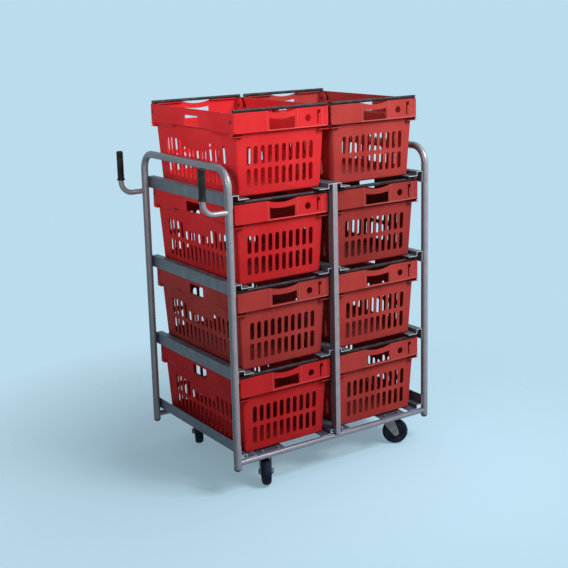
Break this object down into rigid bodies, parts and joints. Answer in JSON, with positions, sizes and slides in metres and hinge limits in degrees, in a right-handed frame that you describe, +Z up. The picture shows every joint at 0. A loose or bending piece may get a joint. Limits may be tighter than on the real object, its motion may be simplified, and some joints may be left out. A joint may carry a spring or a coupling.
{
  "type": "order picking trolley",
  "caption": "Tubular steel picking trolley on swivel castors, with push handles and tiers of folded runners that carry removable ventilated plastic crates with swing bale arms.",
  "frame": {"origin": "on the floor under the middle of the rack, between the two end hoops", "axes": "+Z up, +X along the trolley away from the push handles, +Y from the picking side to the back"},
  "size_m": [1.002, 0.655, 1.3711],
  "materials": {
    "rack_steel": "silver-grey powder coat",
    "castor_zinc": "zinc plated, dulled",
    "black_plastic": "moulded",
    "grip_rubber": "ribbed, matt",
    "wheel_plastic": "moulded",
    "tyre": "smooth, worn",
    "crate_red": "satin moulded",
    "crate_faded_red": "faded, scuffed",
    "arm_plastic": "moulded"
  },
  "bodies": {
    "frame": {"left_hoop": "rack_steel", "right_hoop": "rack_steel", "foot_plugs": "black_plastic", "base_tube_front": "rack_steel", "base_tube_rear": "rack_steel", "centre_post_front": "rack_steel", "centre_post_rear": "rack_steel", "right_runners": "rack_steel", "left_runners": "rack_steel", "centre_runners": "rack_steel", "handle_front": "rack_steel", "handle_rear": "rack_steel", "grip_front": "grip_rubber", "grip_rear": "grip_rubber", "castor_mount_plates": "rack_steel", "castor_swivel_plates": "castor_zinc"},
    "castor_front_left": {"castor_fork_front_left": "castor_zinc", "castor_axle_front_left": "castor_zinc"},
    "wheel_front_left": {"castor_wheel_front_left": "wheel_plastic", "castor_tyre_front_left": "tyre"},
    "castor_front_right": {"castor_fork_front_right": "castor_zinc", "castor_axle_front_right": "castor_zinc"},
    "wheel_front_right": {"castor_wheel_front_right": "wheel_plastic", "castor_tyre_front_right": "tyre"},
    "castor_rear_left": {"castor_fork_rear_left": "castor_zinc", "castor_axle_rear_left": "castor_zinc"},
    "wheel_rear_left": {"castor_wheel_rear_left": "wheel_plastic", "castor_tyre_rear_left": "tyre"},
    "castor_rear_right": {"castor_fork_rear_right": "castor_zinc", "castor_axle_rear_right": "castor_zinc"},
    "wheel_rear_right": {"castor_wheel_rear_right": "wheel_plastic", "castor_tyre_rear_right": "tyre"},
    "crate_left_1": {"crate_left_1": "crate_red"},
    "bale_arm_front_left_1": {"bale_arm_front_left_1": "arm_plastic"},
    "bale_arm_rear_left_1": {"bale_arm_rear_left_1": "arm_plastic"},
    "crate_right_1": {"crate_right_1": "crate_faded_red"},
    "bale_arm_front_right_1": {"bale_arm_front_right_1": "arm_plastic"},
    "bale_arm_rear_right_1": {"bale_arm_rear_right_1": "arm_plastic"},
    "crate_left_2": {"crate_left_2": "crate_faded_red"},
    "bale_arm_front_left_2": {"bale_arm_front_left_2": "arm_plastic"},
    "bale_arm_rear_left_2": {"bale_arm_rear_left_2": "arm_plastic"},
    "crate_right_2": {"crate_right_2": "crate_faded_red"},
    "bale_arm_front_right_2": {"bale_arm_front_right_2": "arm_plastic"},
    "bale_arm_rear_right_2": {"bale_arm_rear_right_2": "arm_plastic"},
    "crate_left_3": {"crate_left_3": "crate_red"},
    "bale_arm_front_left_3": {"bale_arm_front_left_3": "arm_plastic"},
    "bale_arm_rear_left_3": {"bale_arm_rear_left_3": "arm_plastic"},
    "crate_right_3": {"crate_right_3": "crate_faded_red"},
    "bale_arm_front_right_3": {"bale_arm_front_right_3": "arm_plastic"},
    "bale_arm_rear_right_3": {"bale_arm_rear_right_3": "arm_plastic"},
    "crate_left_4": {"crate_left_4": "crate_red"},
    "bale_arm_front_left_4": {"bale_arm_front_left_4": "arm_plastic"},
    "bale_arm_rear_left_4": {"bale_arm_rear_left_4": "arm_plastic"},
    "crate_right_4": {"crate_right_4": "crate_faded_red"},
    "bale_arm_front_right_4": {"bale_arm_front_right_4": "arm_plastic"},
    "bale_arm_rear_right_4": {"bale_arm_rear_right_4": "arm_plastic"}
  },
  "joints": [
    {"name": "swivel_front_left", "type": "hinge", "parent": "frame", "child": "castor_front_left", "pos_m": [-0.285, -0.246, 0.1], "axis": [0, 0, 1], "continuous": true},
    {"name": "roll_front_left", "type": "hinge", "parent": "castor_front_left", "child": "wheel_front_left", "pos_m": [-0.30253, -0.28195, 0.05], "axis": [0.8988, -0.4384, 0], "continuous": true},
    {"name": "swivel_front_right", "type": "hinge", "parent": "frame", "child": "castor_front_right", "pos_m": [0.285, -0.246, 0.1], "axis": [0, 0, 1], "continuous": true},
    {"name": "roll_front_right", "type": "hinge", "parent": "castor_front_right", "child": "wheel_front_right", "pos_m": [0.31835, -0.26808, 0.05], "axis": [0.5519, 0.8339, 0], "continuous": true},
    {"name": "swivel_rear_left", "type": "hinge", "parent": "frame", "child": "castor_rear_left", "pos_m": [-0.285, 0.246, 0.1], "axis": [0, 0, 1], "continuous": true},
    {"name": "roll_rear_left", "type": "hinge", "parent": "castor_rear_left", "child": "wheel_rear_left", "pos_m": [-0.30316, 0.21036, 0.05], "axis": [0.891, -0.454, 0], "continuous": true},
    {"name": "swivel_rear_right", "type": "hinge", "parent": "frame", "child": "castor_rear_right", "pos_m": [0.285, 0.246, 0.1], "axis": [0, 0, 1], "continuous": true},
    {"name": "roll_rear_right", "type": "hinge", "parent": "castor_rear_right", "child": "wheel_rear_right", "pos_m": [0.24741, 0.23232, 0.05], "axis": [0.342, -0.9397, 0], "continuous": true},
    {"name": "slide_crate_left_1", "type": "slide", "parent": "frame", "child": "crate_left_1", "axis": [0, -1, 0], "range_m": [0, 0.66]},
    {"name": "swing_bale_arm_front_left_1", "type": "hinge", "parent": "crate_left_1", "child": "bale_arm_front_left_1", "pos_m": [-0.212, -0.282, 0.39595], "axis": [-1, 0, 0], "range_deg": [0, 103.9]},
    {"name": "swing_bale_arm_rear_left_1", "type": "hinge", "parent": "crate_left_1", "child": "bale_arm_rear_left_1", "pos_m": [-0.212, 0.282, 0.39595], "axis": [1, 0, 0], "range_deg": [0, 103.9]},
    {"name": "slide_crate_right_1", "type": "slide", "parent": "frame", "child": "crate_right_1", "axis": [0, -1, 0], "range_m": [0, 0.66]},
    {"name": "swing_bale_arm_front_right_1", "type": "hinge", "parent": "crate_right_1", "child": "bale_arm_front_right_1", "pos_m": [0.212, -0.282, 0.39595], "axis": [-1, 0, 0], "range_deg": [0, 103.9]},
    {"name": "swing_bale_arm_rear_right_1", "type": "hinge", "parent": "crate_right_1", "child": "bale_arm_rear_right_1", "pos_m": [0.212, 0.282, 0.39595], "axis": [1, 0, 0], "range_deg": [0, 103.9]},
    {"name": "slide_crate_left_2", "type": "slide", "parent": "frame", "child": "crate_left_2", "axis": [0, -1, 0], "range_m": [0, 0.66]},
    {"name": "swing_bale_arm_front_left_2", "type": "hinge", "parent": "crate_left_2", "child": "bale_arm_front_left_2", "pos_m": [-0.212, -0.282, 0.70695], "axis": [-1, 0, 0], "range_deg": [0, 103.9]},
    {"name": "swing_bale_arm_rear_left_2", "type": "hinge", "parent": "crate_left_2", "child": "bale_arm_rear_left_2", "pos_m": [-0.212, 0.282, 0.70695], "axis": [1, 0, 0], "range_deg": [0, 103.9]},
    {"name": "slide_crate_right_2", "type": "slide", "parent": "frame", "child": "crate_right_2", "axis": [0, -1, 0], "range_m": [0, 0.66]},
    {"name": "swing_bale_arm_front_right_2", "type": "hinge", "parent": "crate_right_2", "child": "bale_arm_front_right_2", "pos_m": [0.212, -0.282, 0.70695], "axis": [-1, 0, 0], "range_deg": [0, 103.9]},
    {"name": "swing_bale_arm_rear_right_2", "type": "hinge", "parent": "crate_right_2", "child": "bale_arm_rear_right_2", "pos_m": [0.212, 0.282, 0.70695], "axis": [1, 0, 0], "range_deg": [0, 103.9]},
    {"name": "slide_crate_left_3", "type": "slide", "parent": "frame", "child": "crate_left_3", "axis": [0, -1, 0], "range_m": [0, 0.66]},
    {"name": "swing_bale_arm_front_left_3", "type": "hinge", "parent": "crate_left_3", "child": "bale_arm_front_left_3", "pos_m": [-0.212, -0.282, 1.01795], "axis": [-1, 0, 0], "range_deg": [0, 103.9]},
    {"name": "swing_bale_arm_rear_left_3", "type": "hinge", "parent": "crate_left_3", "child": "bale_arm_rear_left_3", "pos_m": [-0.212, 0.282, 1.01795], "axis": [1, 0, 0], "range_deg": [0, 103.9]},
    {"name": "slide_crate_right_3", "type": "slide", "parent": "frame", "child": "crate_right_3", "axis": [0, -1, 0], "range_m": [0, 0.66]},
    {"name": "swing_bale_arm_front_right_3", "type": "hinge", "parent": "crate_right_3", "child": "bale_arm_front_right_3", "pos_m": [0.212, -0.282, 1.01795], "axis": [-1, 0, 0], "range_deg": [0, 103.9]},
    {"name": "swing_bale_arm_rear_right_3", "type": "hinge", "parent": "crate_right_3", "child": "bale_arm_rear_right_3", "pos_m": [0.212, 0.282, 1.01795], "axis": [1, 0, 0], "range_deg": [0, 103.9]},
    {"name": "slide_crate_left_4", "type": "slide", "parent": "frame", "child": "crate_left_4", "axis": [0, -1, 0], "range_m": [0, 0.66]},
    {"name": "swing_bale_arm_front_left_4", "type": "hinge", "parent": "crate_left_4", "child": "bale_arm_front_left_4", "pos_m": [-0.204, -0.282, 1.32895], "axis": [-1, 0, 0], "range_deg": [0, 103.9]},
    {"name": "swing_bale_arm_rear_left_4", "type": "hinge", "parent": "crate_left_4", "child": "bale_arm_rear_left_4", "pos_m": [-0.204, 0.282, 1.32895], "axis": [1, 0, 0], "range_deg": [0, 103.9]},
    {"name": "slide_crate_right_4", "type": "slide", "parent": "frame", "child": "crate_right_4", "axis": [0, -1, 0], "range_m": [0, 0.66]},
    {"name": "swing_bale_arm_front_right_4", "type": "hinge", "parent": "crate_right_4", "child": "bale_arm_front_right_4", "pos_m": [0.204, -0.282, 1.32895], "axis": [-1, 0, 0], "range_deg": [0, 103.9]},
    {"name": "swing_bale_arm_rear_right_4", "type": "hinge", "parent": "crate_right_4", "child": "bale_arm_rear_right_4", "pos_m": [0.204, 0.282, 1.32895], "axis": [1, 0, 0], "range_deg": [0, 103.9]}
  ]
}
